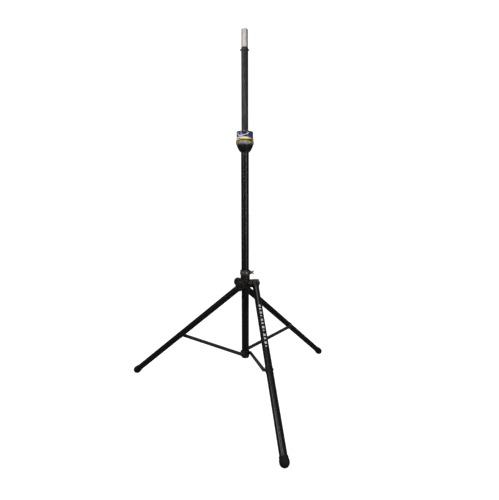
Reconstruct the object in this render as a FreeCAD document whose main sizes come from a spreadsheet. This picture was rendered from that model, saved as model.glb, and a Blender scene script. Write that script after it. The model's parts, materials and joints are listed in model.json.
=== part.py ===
import FreeCAD, Part
import math
import os
import re

import Sketcher

# A tall tripod speaker stand: a main tube with a telescoping pole and a twist-lock collar, and three
# legs in a pinwheel around a sliding hub, each held by a brace to a fixed hub at the tube's foot.
#
# Frame: millimetres, +Z up, floor at Z = 0, origin at the centre of the footprint, front foot at -Y.
# Each leg has a frame of its own: X runs out along the leg's way over the floor and Y along the axis
# of its pivot (the "spoke"), so the whole fold of one leg happens in planes of constant Y.

DRIVING = {
    # tubes
    "main_diameter": 44.45,
    "main_wall": 1.725,
    "pole_diameter": 38.1,
    "pole_wall": 1.8,
    "leg_diameter": 38.1,
    "leg_wall": 1.6,
    "running_gap": 0.08,
    "side_gap": 0.3,
    # heights above the floor
    "main_bottom": 204,
    "main_top": 1498,
    "pole_bottom": 666,
    "pole_top": 1960,
    "spigot_diameter": 35,
    "spigot_length": 92.5,
    "spigot_neck": 66,
    "pin_height": 1949,
    "pin_diameter": 8,
    "pin_length": 50.8,
    "pin_direction": -16,
    # twist-lock collar
    "cone_bottom": 1424,
    "cone_top": 1461,
    "cone_foot_diameter": 54,
    "cone_diameter": 91.5,
    "cone_bulge": 95,
    "nose_diameter": 76,
    "nose_top": 1505,
    "ring_height": 18.5,
    "ring_diameter": 101.5,
    "ring_edge": 3,
    "band_height": 20.5,
    "band_foot_diameter": 99,
    "cap_diameter": 93,
    "cap_top": 1533,
    "cap_rounding": 6,
    "collet_diameter": 48,
    "collet_top": 1521,
    "collet_taper": 10,
    "collet_split": 2.4,
    "bushing_length": 58,
    "bushing_flange": 4,
    # leg fold
    "legs": 3,
    "leg_pivot_height": 668,
    "leg_pivot_offset": 60.8,
    "leg_angle": 50,
    "brace_station": 565,
    "brace_length": 440,
    # sliding hub
    "hub_diameter": 55.5,
    "hub_bottom": 641,
    "hub_top": 749,
    "liner_wall": 1.7,
    "liner_flange": 3,
    "arm_diameter": 51,
    "arm_end": 39.5,
    "spacer_thickness": 1.5,
    "spacer_diameter": 30,
    "pivot_bolt_diameter": 10,
    "pivot_bolt_start": 28.5,
    "pivot_clearance": 0.12,
    "washer_thickness": 1.6,
    "washer_diameter": 24,
    "bolt_head_width": 17,
    "bolt_head_height": 4.5,
    "ring_bottom": 719,
    "ring_top": 750,
    "ring_wall": 3.7,
    "boss_diameter": 17,
    "boss_end": 37,
    "wing_bolt_diameter": 8,
    "wing_bolt_tip": 25.7,
    "wing_neck": 38,
    "wing_end": 53.5,
    "wing_span": 25,
    "wing_thickness": 4.5,
    "pad_diameter": 14,
    "pad_start": 15,
    # legs
    "knuckle_end": 83,
    "knuckle_rounding": 8,
    "knuckle_neck": 34,
    "knuckle_stub": 46,
    "boot_radius": 24,
    "boot_sink": 3,
    "boot_length": 26,
    "boot_lip": 2.8,
    "bracket_length": 34,
    "bracket_wall": 2.4,
    "bracket_angle": 130,
    "bracket_boss_diameter": 19,
    "bracket_boss_end": 38.3,
    "leg_bolt_diameter": 8,
    # lower hub and braces
    "lower_hub_diameter": 50.4,
    "lower_hub_height": 40,
    "lower_boss_diameter": 20,
    "lower_boss_end": 27,
    "brace_width": 10,
    "brace_height": 20,
    "brace_wall": 2,
    "brace_pin_diameter": 8,
    "brace_pin_start": 23.5,
    "rivet_head_diameter": 14,
    "rivet_head_height": 2.8,
    "plug_height": 6,
    "plug_depth": 18,
    # piston at the foot of the pole
    "piston_length": 22,
    "piston_flange": 4,
    "piston_neck": 34,
    "seal_height": 6,
    "seal_depth": 2.4,
    "piston_screw_diameter": 5,
    "piston_screw_head": 11,
    # how far a cutting shape runs past what it cuts
    "cut_margin": 5,
    "cut_reach": 80,
}

# Expressions in the sizes above that more than one sub-part uses.
PIN_HEAD_START = "lower_boss_end + brace_width + 2 * side_gap"
LINER_BORE = "main_diameter / 2 + running_gap"
LINER_OUTER = LINER_BORE + " + liner_wall"
CLAMP_HEIGHT = "(ring_bottom + ring_top) / 2"
WASHER_END = "knuckle_end + side_gap + washer_thickness"
KNUCKLE_START = "arm_end + spacer_thickness + side_gap - leg_pivot_offset"
KNUCKLE_END = "knuckle_end - leg_pivot_offset"
TUBE_END = "boot_ball - 4"


def derived_sizes(size):
    """Places that follow from the driving sizes, such as the closing of the brace linkage."""
    spread = math.radians(size["leg_angle"])
    station, brace = size["brace_station"], size["brace_length"]
    reach = station * math.sin(spread)
    rise = math.sqrt(brace ** 2 - reach ** 2)
    gap = station * math.cos(spread) + rise
    ball = (size["leg_pivot_height"] - size["boot_radius"] + size["boot_sink"]) / math.cos(spread)
    return {
        "leg_sine": math.sin(spread),
        "leg_cosine": math.cos(spread),
        "main_inner": size["main_diameter"] - 2 * size["main_wall"],
        "pole_inner": size["pole_diameter"] - 2 * size["pole_wall"],
        "leg_inner": size["leg_diameter"] - 2 * size["leg_wall"],
        "brace_pivot_height": size["leg_pivot_height"] - gap,
        "brace_angle": math.degrees(math.atan2(rise, reach)),
        "boot_ball": ball,
        "foot_circle": math.hypot(ball * math.sin(spread), size["leg_pivot_offset"]),
        "leg_turn": math.degrees(math.atan2(size["leg_pivot_offset"], ball * math.sin(spread))),
        "brace_inner_face": size["lower_boss_end"] + size["side_gap"],
    }


doc = FreeCAD.newDocument("speaker_stand")
sheet = doc.addObject("Spreadsheet::Sheet", "Sizes")
SIZE = dict(DRIVING)
SIZE.update(derived_sizes(DRIVING))
for row, (alias, amount) in enumerate(SIZE.items(), start=1):
    sheet.set("A%d" % row, alias)
    sheet.set("B%d" % row, repr(float(amount)))
    sheet.setAlias("B%d" % row, alias)
doc.recompute()

X_AXIS = FreeCAD.Vector(1, 0, 0)
Y_AXIS = FreeCAD.Vector(0, 1, 0)
Z_AXIS = FreeCAD.Vector(0, 0, 1)
LEG_NUMBERS = range(1, int(SIZE["legs"]) + 1)
nodes = []


# ---------------------------------------------------------------- frames

def moved(x=0, y=0, z=0):
    """A placement that only shifts."""
    return FreeCAD.Placement(FreeCAD.Vector(x, y, z), FreeCAD.Rotation())


def turned_about(axis, degrees):
    """A placement that only turns."""
    return FreeCAD.Placement(FreeCAD.Vector(0, 0, 0), FreeCAD.Rotation(axis, degrees))


POLE_AXIS = moved(y=SIZE["foot_circle"] / 4)
UPRIGHT_TO_SPOKE = turned_about(X_AXIS, -90)


def spoke_frame(number):
    """The upright frame of one leg on the pole's axis: X outwards along the leg, Y along its spoke."""
    front = -90 - SIZE["leg_turn"]
    return POLE_AXIS * turned_about(Z_AXIS, front + (number - 1) * 360 / SIZE["legs"])


def leg_frame(number):
    """Origin on the leg's pivot, Z down the leg towards its foot, Y along the spoke."""
    pivot = moved(y=SIZE["leg_pivot_offset"], z=SIZE["leg_pivot_height"])
    return spoke_frame(number) * pivot * turned_about(Y_AXIS, 180 - SIZE["leg_angle"])


def brace_frame(number):
    """Origin on the brace's lower pivot at the brace's inner face, Z up along the brace."""
    pivot = moved(y=SIZE["brace_inner_face"], z=SIZE["brace_pivot_height"])
    return spoke_frame(number) * pivot * turned_about(Y_AXIS, 90 - SIZE["brace_angle"])


# ---------------------------------------------------------------- drawing tools

def bound(text):
    """The expression with each alias written as a reference to the sheet."""
    def reference(match):
        word = match.group(0)
        return "Sizes." + word if word in SIZE else word
    return re.sub(r"[a-z_]+", reference, text)


def number_of(text):
    """The present value of an expression."""
    value = sheet.evalExpression(bound(text))
    return float(getattr(value, "Value", value))


def new_body(label):
    body = doc.addObject("PartDesign::Body", label)
    body.Label = label
    return body


def keep(piece, placement):
    """Place a finished sub-part and list it for checking and export."""
    piece.Placement = placement
    nodes.append(piece)
    return piece


def new_sketch(body, role, lift=None):
    """A sketch on one of the body's own origin planes, lifted along the plane's normal."""
    plane = [feature for feature in body.Origin.OriginFeatures if feature.Role == role][0]
    sketch = body.newObject("Sketcher::SketchObject", body.Label + "_sketch")
    sketch.AttachmentSupport = [(plane, "")]
    sketch.MapMode = "FlatFace"
    if lift:
        sketch.setExpression("AttachmentOffset.Base.z", bound(lift))
    return sketch


def bind_constraint(sketch, constraint, text):
    index = sketch.addConstraint(constraint)
    sketch.setExpression("Constraints[%d]" % index, bound(text))


def pin_point(sketch, edge, end, across, up):
    """Fix one end of an edge at (across, up) from the sketch's origin."""
    for kind, text in (("DistanceX", across), ("DistanceY", up)):
        bind_constraint(sketch, Sketcher.Constraint(kind, -1, 1, edge, end, number_of(text)), text)


def arc_between(start, finish, radius):
    """The short arc from start to finish, counter-clockwise if the radius is positive."""
    chord = finish - start
    half = chord.Length / 2
    side = FreeCAD.Vector(-chord.y, chord.x, 0).normalize()
    drop = math.sqrt(max(radius ** 2 - half ** 2, 0.0))
    centre = start + chord * 0.5 + side * math.copysign(drop, radius)
    first, last = (start, finish) if radius > 0 else (finish, start)
    angles = [math.atan2(point.y - centre.y, point.x - centre.x) for point in (first, last)]
    return Part.ArcOfCircle(Part.Circle(centre, Z_AXIS, abs(radius)), angles[0], angles[1])


def draw_outline(sketch, corners):
    """A closed outline. A corner is (across, up) or, where an arc leaves it, (across, up, radius)."""
    points = [FreeCAD.Vector(number_of(corner[0]), number_of(corner[1]), 0) for corner in corners]
    ends = []
    for index, corner in enumerate(corners):
        start, finish = points[index], points[(index + 1) % len(points)]
        if len(corner) == 2:
            sketch.addGeometry(Part.LineSegment(start, finish), False)
            ends.append((1, 2))
        else:
            radius = number_of(corner[2])
            sketch.addGeometry(arc_between(start, finish, radius), False)
            ends.append((1, 2) if radius > 0 else (2, 1))
    for index, corner in enumerate(corners):
        before = index - 1 if index else len(corners) - 1
        meeting = Sketcher.Constraint("Coincident", before, ends[before][1], index, ends[index][0])
        sketch.addConstraint(meeting)
        pin_point(sketch, index, ends[index][0], corner[0], corner[1])
        if len(corner) == 3:
            size = corner[2].lstrip("-")
            bind_constraint(sketch, Sketcher.Constraint("Radius", index, number_of(size)), size)


def draw_circle(sketch, across, up, radius):
    centre = FreeCAD.Vector(number_of(across), number_of(up), 0)
    edge = sketch.addGeometry(Part.Circle(centre, Z_AXIS, number_of(radius)), False)
    pin_point(sketch, edge, 3, across, up)
    bind_constraint(sketch, Sketcher.Constraint("Radius", edge, number_of(radius)), radius)


def turn(body, corners, role="XZ_Plane", cut=False, sweep=None):
    """Turn an outline about the sketch's upright axis: Z on the XZ and YZ planes, Y on the XY plane."""
    sketch = new_sketch(body, role)
    draw_outline(sketch, corners)
    kind = "PartDesign::Groove" if cut else "PartDesign::Revolution"
    feature = body.newObject(kind, body.Label + "_turning")
    feature.Profile = sketch
    feature.ReferenceAxis = (sketch, ["V_Axis"])
    feature.Angle = 360
    if sweep:
        feature.Midplane = True
        feature.setExpression("Angle", bound(sweep))
    return feature


def extrude(body, draw, length, role="XZ_Plane", lift=None, backwards=False, both=False, cut=False):
    """Pad or pocket whatever draw() puts on a new sketch."""
    sketch = new_sketch(body, role, lift)
    draw(sketch)
    kind = "PartDesign::Pocket" if cut else "PartDesign::Pad"
    feature = body.newObject(kind, body.Label + "_prism")
    feature.Profile = sketch
    feature.setExpression("Length", bound(length))
    feature.Reversed = backwards
    feature.Midplane = both
    return feature


def repeat_around(body, feature):
    """Repeat a feature once for each leg around the body's Z axis."""
    axis = [item for item in body.Origin.OriginFeatures if item.Role == "Z_Axis"][0]
    pattern = body.newObject("PartDesign::PolarPattern", body.Label + "_around")
    pattern.Originals = [feature]
    pattern.Axis = (axis, [""])
    pattern.Angle = 360
    pattern.setExpression("Occurrences", bound("legs"))
    body.Tip = pattern
    return pattern


def turned_piece(label, corners, placement=POLE_AXIS, role="XZ_Plane"):
    """A sub-part that is one turning."""
    body = new_body(label)
    turn(body, corners, role)
    return keep(body, placement)


def primitive(kind, name, placement, **texts):
    """A Part primitive with its sizes bound to the sheet."""
    piece = doc.addObject(kind, name)
    for prop, text in texts.items():
        piece.setExpression(prop, bound(text))
    piece.Placement = placement
    return piece


def joined(label, pieces):
    fused = doc.addObject("Part::MultiFuse", label)
    fused.Shapes = pieces
    return fused


def group(label, pieces):
    """Separate identical solids kept as one sub-part."""
    compound = doc.addObject("Part::Compound", label)
    compound.Label = label
    compound.Links = pieces
    return keep(compound, FreeCAD.Placement())


def tube_corners(inner, outer, bottom, top):
    """The outline of a plain tube or ring, from diameters."""
    inside, outside = "(%s) / 2" % inner, "(%s) / 2" % outer
    return [(inside, bottom), (outside, bottom), (outside, top), (inside, top)]


# ---------------------------------------------------------------- mast

def make_mast():
    """The main tube with what is fixed to it: foot plug, lower hub and its pins, collar core."""
    turned_piece("main_tube", tube_corners("main_inner", "main_diameter", "main_bottom", "main_top"))
    turned_piece("tube_end_plug", [
        ("0", "main_bottom - plug_height"),
        ("main_diameter / 2 - 2", "main_bottom - plug_height"),
        ("main_diameter / 2", "main_bottom - plug_height + 2"),
        ("main_diameter / 2", "main_bottom"),
        ("main_inner / 2", "main_bottom"),
        ("main_inner / 2", "main_bottom + plug_depth"),
        ("main_inner / 2 - 3", "main_bottom + plug_depth"),
        ("main_inner / 2 - 3", "main_bottom"),
        ("0", "main_bottom")])
    make_lower_hub()
    make_brace_pins()
    make_collar_base()
    turned_piece("upper_bushing", [
        ("pole_diameter / 2 + running_gap", "main_top - bushing_length"),
        ("main_inner / 2", "main_top - bushing_length"),
        ("main_inner / 2", "main_top"),
        ("main_diameter / 2", "main_top"),
        ("main_diameter / 2", "main_top + bushing_flange"),
        ("pole_diameter / 2 + running_gap", "main_top + bushing_flange")])
    make_collet()


def make_lower_hub():
    """A sleeve round the tube's foot with a flat-faced boss for each brace."""
    body = new_body("lower_hub")
    turn(body, [
        ("0", "main_bottom"),
        ("lower_hub_diameter / 2 - 1.5", "main_bottom"),
        ("lower_hub_diameter / 2", "main_bottom + 1.5"),
        ("lower_hub_diameter / 2", "main_bottom + lower_hub_height - 2.5"),
        ("lower_hub_diameter / 2 - 2.5", "main_bottom + lower_hub_height"),
        ("0", "main_bottom + lower_hub_height")])
    boss = extrude(
        body, lambda sketch: draw_circle(sketch, "0", "brace_pivot_height", "lower_boss_diameter / 2"),
        "lower_boss_end", backwards=True)
    repeat_around(body, boss)
    turn(body, tube_corners("0", "main_diameter", "main_bottom - cut_margin",
                            "main_bottom + lower_hub_height + cut_margin"), cut=True)
    drill_arms(body, "brace_pivot_height", "brace_pin_diameter", "brace_pin_start")
    keep(body, spoke_frame(1))


def rivet(name, frame, start, length, head_start, shank="brace_pin_diameter / 2"):
    """A round pin along the spoke with a shallow button head at its outer end."""
    shank_piece = primitive(
        "Part::Cylinder", name + "_shank", frame * moved(y=number_of(start)) * UPRIGHT_TO_SPOKE,
        Radius=shank, Height=length)
    head = primitive(
        "Part::Cone", name + "_head", frame * moved(y=number_of(head_start)) * UPRIGHT_TO_SPOKE,
        Radius1="rivet_head_diameter / 2", Radius2="rivet_head_diameter / 2 - 2", Height="rivet_head_height")
    return joined(name, [shank_piece, head])


def make_brace_pins():
    """The pins that hold the braces' inner ends, fixed in the lower hub's bosses."""
    pins = []
    for number in LEG_NUMBERS:
        frame = spoke_frame(number) * moved(z=SIZE["brace_pivot_height"])
        pins.append(rivet(
            "brace_pin_%d" % number, frame, "brace_pin_start",
            PIN_HEAD_START + " - brace_pin_start", PIN_HEAD_START))
    group("brace_pins", pins)


def make_collar_base():
    """The black bell under the collar, with the threaded nose that the twist cap turns on."""
    body = new_body("collar_base")
    turn(body, [
        ("main_diameter / 2", "cone_bottom"),
        ("cone_foot_diameter / 2", "cone_bottom", "cone_bulge"),
        ("cone_diameter / 2", "cone_top - 3"),
        ("cone_diameter / 2 - 1", "cone_top"),
        ("nose_diameter / 2", "cone_top"),
        ("nose_diameter / 2", "nose_top - 1.5"),
        ("nose_diameter / 2 - 1.5", "nose_top"),
        ("main_diameter / 2 + 3.5", "nose_top"),
        ("main_diameter / 2 + 3.5", "main_top"),
        ("main_diameter / 2", "main_top")])
    turn(body, [
        ("nose_diameter / 2 - 10", "cone_top + 6"),
        ("nose_diameter / 2 - 4", "cone_top + 6"),
        ("nose_diameter / 2 - 4", "nose_top + 2"),
        ("nose_diameter / 2 - 10", "nose_top + 2")], cut=True)
    keep(body, POLE_AXIS)


def make_collet():
    """The split tapered ring that the twist cap squeezes on to the pole."""
    body = new_body("collet")
    turn(body, [
        ("pole_diameter / 2 + running_gap", "main_top + bushing_flange"),
        ("collet_diameter / 2", "main_top + bushing_flange"),
        ("collet_diameter / 2", "collet_top - collet_taper"),
        ("collet_diameter / 2 - 3", "collet_top"),
        ("pole_diameter / 2 + running_gap", "collet_top")])
    extrude(body, lambda sketch: draw_outline(sketch, [
        ("-collet_split / 2", "main_top"),
        ("collet_split / 2", "main_top"),
        ("collet_split / 2", "collet_top + cut_margin"),
        ("-collet_split / 2", "collet_top + cut_margin")]), "collet_diameter", backwards=True, cut=True)
    keep(body, POLE_AXIS * turned_about(Z_AXIS, 180))


# ---------------------------------------------------------------- twist collar

def make_collar():
    """What the hand turns: grey grip ring, printed band and cap, with the wiper inside the cap."""
    ring_bottom = "cone_top + 0.5"
    ring_top = ring_bottom + " + ring_height"
    band_top = ring_top + " + band_height"
    bore = "nose_diameter / 2 + side_gap + 0.1"
    body = new_body("grip_ring")
    turn(body, [
        (bore, ring_bottom),
        ("ring_diameter / 2 - 2 * ring_edge", ring_bottom),
        ("ring_diameter / 2 - 0.4", ring_bottom + " + 2 * ring_edge"),
        ("ring_diameter / 2", ring_bottom + " + ring_height / 2"),
        ("ring_diameter / 2 - 0.4", ring_top + " - ring_edge"),
        ("ring_diameter / 2 - ring_edge / 2", ring_top),
        (bore, ring_top)])
    extrude(body, lambda sketch: draw_outline(sketch, [
        ("-7", ring_bottom + " + 4"),
        ("0", ring_bottom + " - 5"),
        ("7", ring_bottom + " + 4")]), "4.5", lift="ring_diameter / 2 - 4.5")
    keep(body, POLE_AXIS)
    turned_piece("accent_band", [
        ("cap_diameter / 2", ring_top),
        ("band_foot_diameter / 2", ring_top),
        ("band_foot_diameter / 2 - 0.3", ring_top + " + 3"),
        ("cap_diameter / 2 + 0.8", band_top),
        ("cap_diameter / 2", band_top)])
    turned_piece("twist_cap", [
        (bore, ring_top),
        ("cap_diameter / 2", ring_top),
        ("cap_diameter / 2", "cap_top - cap_rounding", "cap_rounding"),
        ("cap_diameter / 2 - cap_rounding", "cap_top"),
        ("pole_diameter / 2 + 4", "cap_top"),
        ("pole_diameter / 2 + 0.6", "cap_top - 1.5"),
        ("pole_diameter / 2 + 0.6", "cap_top - 4"),
        ("pole_diameter / 2 + 3", "cap_top - 4"),
        ("pole_diameter / 2 + 3", "cap_top - 8"),
        ("pole_diameter / 2 + 0.6", "cap_top - 8"),
        ("pole_diameter / 2 + 0.6", "collet_top + 1"),
        ("collet_diameter / 2 - 2.4", "collet_top + 1"),
        ("collet_diameter / 2 + 0.6", "collet_top - collet_taper + 0.6"),
        ("collet_diameter / 2 + 0.6", "nose_top + 1"),
        (bore, "nose_top + 1")])
    turned_piece("wiper_ring", [
        ("pole_diameter / 2 + running_gap", "cap_top - 7.5"),
        ("pole_diameter / 2 + 3", "cap_top - 8"),
        ("pole_diameter / 2 + 3", "cap_top - 4"),
        ("pole_diameter / 2 + running_gap", "cap_top - 4.5")])


# ---------------------------------------------------------------- pole

def make_pole():
    """The telescoping pole: tube, bare spigot on top, stop pin, and the piston that guides its foot."""
    pin_frame = POLE_AXIS * turned_about(Z_AXIS, SIZE["pin_direction"] - 90)

    def pin_hole(body):
        extrude(body, lambda sketch: draw_circle(sketch, "0", "pin_height", "pin_diameter / 2"),
                "cut_reach", both=True, cut=True)

    tube = new_body("pole_tube")
    turn(tube, tube_corners("pole_inner", "pole_diameter", "pole_bottom", "pole_top"))
    pin_hole(tube)
    keep(tube, pin_frame)
    spigot = new_body("pole_spigot")
    turn(spigot, [
        ("pole_inner / 2 - 2.5", "pole_top - spigot_neck"),
        ("pole_inner / 2", "pole_top - spigot_neck"),
        ("pole_inner / 2", "pole_top"),
        ("spigot_diameter / 2", "pole_top"),
        ("spigot_diameter / 2", "pole_top + spigot_length - 5", "5"),
        ("spigot_diameter / 2 - 5", "pole_top + spigot_length"),
        ("0", "pole_top + spigot_length"),
        ("0", "pole_top + spigot_length - 4"),
        ("pole_inner / 2 - 2.5", "pole_top + spigot_length - 4")])
    pin_hole(spigot)
    keep(spigot, pin_frame)
    turned_piece("cross_pin", [
        ("0", "-pin_length / 2"),
        ("pin_diameter / 2 - 1.5", "-pin_length / 2"),
        ("pin_diameter / 2", "-pin_length / 2 + 1.5"),
        ("pin_diameter / 2", "pin_length / 2 - 1.5"),
        ("pin_diameter / 2 - 1.5", "pin_length / 2"),
        ("0", "pin_length / 2")], pin_frame * moved(z=SIZE["pin_height"]), "XY_Plane")
    make_piston()


def make_piston():
    """The plastic guide and air piston in the pole's lower end, its cup seal and its screw."""
    flange_bottom = "pole_bottom - piston_flange"
    foot = flange_bottom + " - piston_length"
    seal_bottom = foot + " + 6"
    seal_top = seal_bottom + " + seal_height"
    land = "main_inner / 2 - running_gap"
    turned_piece("pole_piston", [
        ("piston_screw_diameter / 2", foot),
        (land + " - 1", foot),
        (land, foot + " + 1"),
        (land, seal_bottom),
        (land + " - seal_depth", seal_bottom),
        (land + " - seal_depth", seal_top),
        (land, seal_top),
        (land, flange_bottom + " - 1"),
        ("pole_diameter / 2", flange_bottom),
        ("pole_diameter / 2", "pole_bottom"),
        ("pole_inner / 2", "pole_bottom"),
        ("pole_inner / 2", "pole_bottom + piston_neck"),
        ("piston_screw_diameter / 2", "pole_bottom + piston_neck")])
    turned_piece("piston_seal", [
        (land + " - seal_depth", seal_bottom),
        (land, seal_bottom),
        (land + " + 0.04", seal_bottom + " + seal_height / 2"),
        (land, seal_top),
        (land + " - seal_depth", seal_top)])
    turned_piece("piston_screw", [
        ("0", foot + " - 3"),
        ("piston_screw_head / 2", foot + " - 3"),
        ("piston_screw_head / 2", foot),
        ("piston_screw_diameter / 2", foot),
        ("piston_screw_diameter / 2", "pole_bottom + piston_neck - 6"),
        ("0", "pole_bottom + piston_neck - 6")])


# ---------------------------------------------------------------- sliding hub

def drill_arms(body, height, diameter, start):
    """Blind holes from the outside into a hub's three arms, ending at start from the axis."""
    hole = extrude(body, lambda sketch: draw_circle(sketch, "0", height, diameter + " / 2"),
                   "cut_reach", lift="-" + start, cut=True)
    repeat_around(body, hole)


def make_leg_hub():
    """The moulded hub, with one round arm for each leg and a neck for the clamp ring."""
    body = new_body("leg_hub")
    turn(body, [
        ("0", "hub_bottom"),
        ("hub_diameter / 2", "hub_bottom"),
        ("hub_diameter / 2", "hub_top"),
        ("0", "hub_top")])
    arm = extrude(
        body, lambda sketch: draw_circle(sketch, "0", "leg_pivot_height", "arm_diameter / 2"),
        "arm_end", backwards=True)
    repeat_around(body, arm)
    turn(body, tube_corners("0", "2 * (" + LINER_OUTER + ")", "hub_bottom - cut_margin",
                            "hub_top + cut_margin"), cut=True)
    drill_arms(body, "leg_pivot_height", "pivot_bolt_diameter", "pivot_bolt_start")
    extrude(body, lambda sketch: draw_circle(sketch, "0", CLAMP_HEIGHT, "pad_diameter / 2"),
            "cut_reach", lift="-pad_start", cut=True)
    keep(body, spoke_frame(1))


def make_clamp():
    """The metal ring round the hub's neck, its wing bolt, and the pad that grips the main tube."""
    ring = new_body("clamp_ring")
    turn(ring, [
        ("hub_diameter / 2", "ring_bottom"),
        ("hub_diameter / 2 + ring_wall - 1", "ring_bottom"),
        ("hub_diameter / 2 + ring_wall", "ring_bottom + 4"),
        ("hub_diameter / 2 + ring_wall", "ring_top - 3"),
        ("hub_diameter / 2 + ring_wall - 1.2", "ring_top"),
        ("hub_diameter / 2", "ring_top")])
    extrude(ring, lambda sketch: draw_circle(sketch, "0", CLAMP_HEIGHT, "boss_diameter / 2"),
            "boss_end - hub_diameter / 2 - 1", lift="-hub_diameter / 2 - 1", backwards=True)
    extrude(ring, lambda sketch: draw_circle(
        sketch, "0", CLAMP_HEIGHT, "wing_bolt_diameter / 2 + running_gap"),
        "cut_reach", lift="-pad_start", cut=True)
    keep(ring, spoke_frame(1))
    clamp_frame = spoke_frame(1) * moved(z=number_of(CLAMP_HEIGHT))
    bolt = new_body("wing_bolt")
    turn(bolt, [
        ("0", "wing_bolt_tip"),
        ("wing_bolt_diameter / 2 - 1", "wing_bolt_tip"),
        ("wing_bolt_diameter / 2", "wing_bolt_tip + 1"),
        ("wing_bolt_diameter / 2", "wing_neck"),
        ("boss_diameter / 2 - 2", "wing_neck"),
        ("boss_diameter / 2 - 3", "wing_neck + 6"),
        ("0", "wing_neck + 6")], "XY_Plane")
    extrude(bolt, lambda sketch: draw_outline(sketch, [
        ("wing_neck + 1", "-5.5"),
        ("wing_neck + 6", "-wing_span / 2", "6"),
        ("wing_end", "-wing_span / 2 + 3"),
        ("wing_neck + 7", "0"),
        ("wing_end", "wing_span / 2 - 3", "6"),
        ("wing_neck + 6", "wing_span / 2"),
        ("wing_neck + 1", "5.5")]), "wing_thickness", role="YZ_Plane", both=True)
    keep(bolt, clamp_frame)
    pad_frame = clamp_frame * moved(y=SIZE["pad_start"]) * UPRIGHT_TO_SPOKE
    blank = primitive("Part::Cylinder", "clamp_pad_blank", pad_frame,
                      Radius="pad_diameter / 2 - 0.2", Height="wing_bolt_tip - side_gap - pad_start")
    tube_room = primitive("Part::Cylinder", "clamp_pad_room", POLE_AXIS * moved(z=SIZE["ring_bottom"]),
                          Radius="main_diameter / 2 + running_gap", Height="ring_top - ring_bottom")
    pad = doc.addObject("Part::Cut", "clamp_pad")
    pad.Base = blank
    pad.Tool = tube_room
    keep(pad, FreeCAD.Placement())


def make_pivot_hardware():
    """For each leg: the bolt it turns on, the spacer inside it and the washer outside it."""
    bolts, spacers, washers = [], [], []
    for number in LEG_NUMBERS:
        label = "_%d" % number
        frame = spoke_frame(number) * moved(z=SIZE["leg_pivot_height"])
        shank = primitive(
            "Part::Cylinder", "pivot_shank" + label,
            frame * moved(y=SIZE["pivot_bolt_start"]) * UPRIGHT_TO_SPOKE,
            Radius="pivot_bolt_diameter / 2", Height=WASHER_END + " - pivot_bolt_start")
        head = primitive(
            "Part::Prism", "pivot_head" + label,
            frame * moved(y=number_of(WASHER_END)) * UPRIGHT_TO_SPOKE,
            Circumradius="bolt_head_width / sqrt(3)", Height="bolt_head_height")
        bolts.append(joined("pivot_bolt" + label, [shank, head]))
        spacers.append(flat_ring(
            "pivot_spacer" + label, frame * moved(y=SIZE["arm_end"]), "spacer_diameter", "spacer_thickness"))
        washers.append(flat_ring(
            "pivot_washer" + label, frame * moved(y=number_of("knuckle_end + side_gap")),
            "washer_diameter", "washer_thickness"))
    group("pivot_bolts", bolts)
    group("pivot_spacers", spacers)
    group("pivot_washers", washers)


def flat_ring(name, frame, outer, thickness):
    """A washer on a pivot bolt."""
    disc = primitive("Part::Cylinder", name + "_disc", frame * UPRIGHT_TO_SPOKE,
                     Radius=outer + " / 2", Height=thickness)
    hole = primitive("Part::Cylinder", name + "_hole", frame * UPRIGHT_TO_SPOKE,
                     Radius="pivot_bolt_diameter / 2", Height=thickness)
    ring = doc.addObject("Part::Cut", name)
    ring.Base = disc
    ring.Tool = hole
    return ring


def make_hub():
    """Everything that slides on the main tube, apart from the legs."""
    turned_piece("hub_liner", [
        (LINER_BORE, "hub_bottom - liner_flange"),
        ("hub_diameter / 2 - 1", "hub_bottom - liner_flange"),
        ("hub_diameter / 2", "hub_bottom - liner_flange + 1"),
        ("hub_diameter / 2", "hub_bottom"),
        (LINER_OUTER, "hub_bottom"),
        (LINER_OUTER, "ring_bottom - 2"),
        (LINER_BORE, "ring_bottom - 2")])
    make_leg_hub()
    make_clamp()
    make_pivot_hardware()


# ---------------------------------------------------------------- legs

def make_knuckle(number):
    """The hinge block on a leg's top end: a round barrel on the pivot and a stub inside the tube."""
    body = new_body("leg_knuckle_%d" % number)
    turn(body, [
        ("0", KNUCKLE_START),
        ("arm_diameter / 2 - 1.5", KNUCKLE_START),
        ("arm_diameter / 2", KNUCKLE_START + " + 1.5"),
        ("arm_diameter / 2", KNUCKLE_END + " - knuckle_rounding", "knuckle_rounding"),
        ("arm_diameter / 2 - knuckle_rounding", KNUCKLE_END),
        ("0", KNUCKLE_END)], "XY_Plane")
    turn(body, [
        ("0", "0"),
        ("leg_diameter / 2 + 0.4", "0"),
        ("leg_diameter / 2 + 0.4", "knuckle_neck"),
        ("leg_inner / 2", "knuckle_neck"),
        ("leg_inner / 2", "knuckle_neck + knuckle_stub"),
        ("0", "knuckle_neck + knuckle_stub")])
    turn(body, tube_corners("0", "pivot_bolt_diameter + 2 * pivot_clearance",
                            KNUCKLE_START + " - cut_margin", KNUCKLE_END + " + cut_margin"),
         "XY_Plane", cut=True)
    return body


def make_leg_tube(number):
    body = new_body("leg_tube_%d" % number)
    turn(body, tube_corners("leg_inner", "leg_diameter", "knuckle_neck", TUBE_END))
    extrude(body, lambda sketch: draw_circle(sketch, "0", "brace_station", "leg_bolt_diameter / 2"),
            "cut_reach", both=True, cut=True)
    return body


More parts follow.
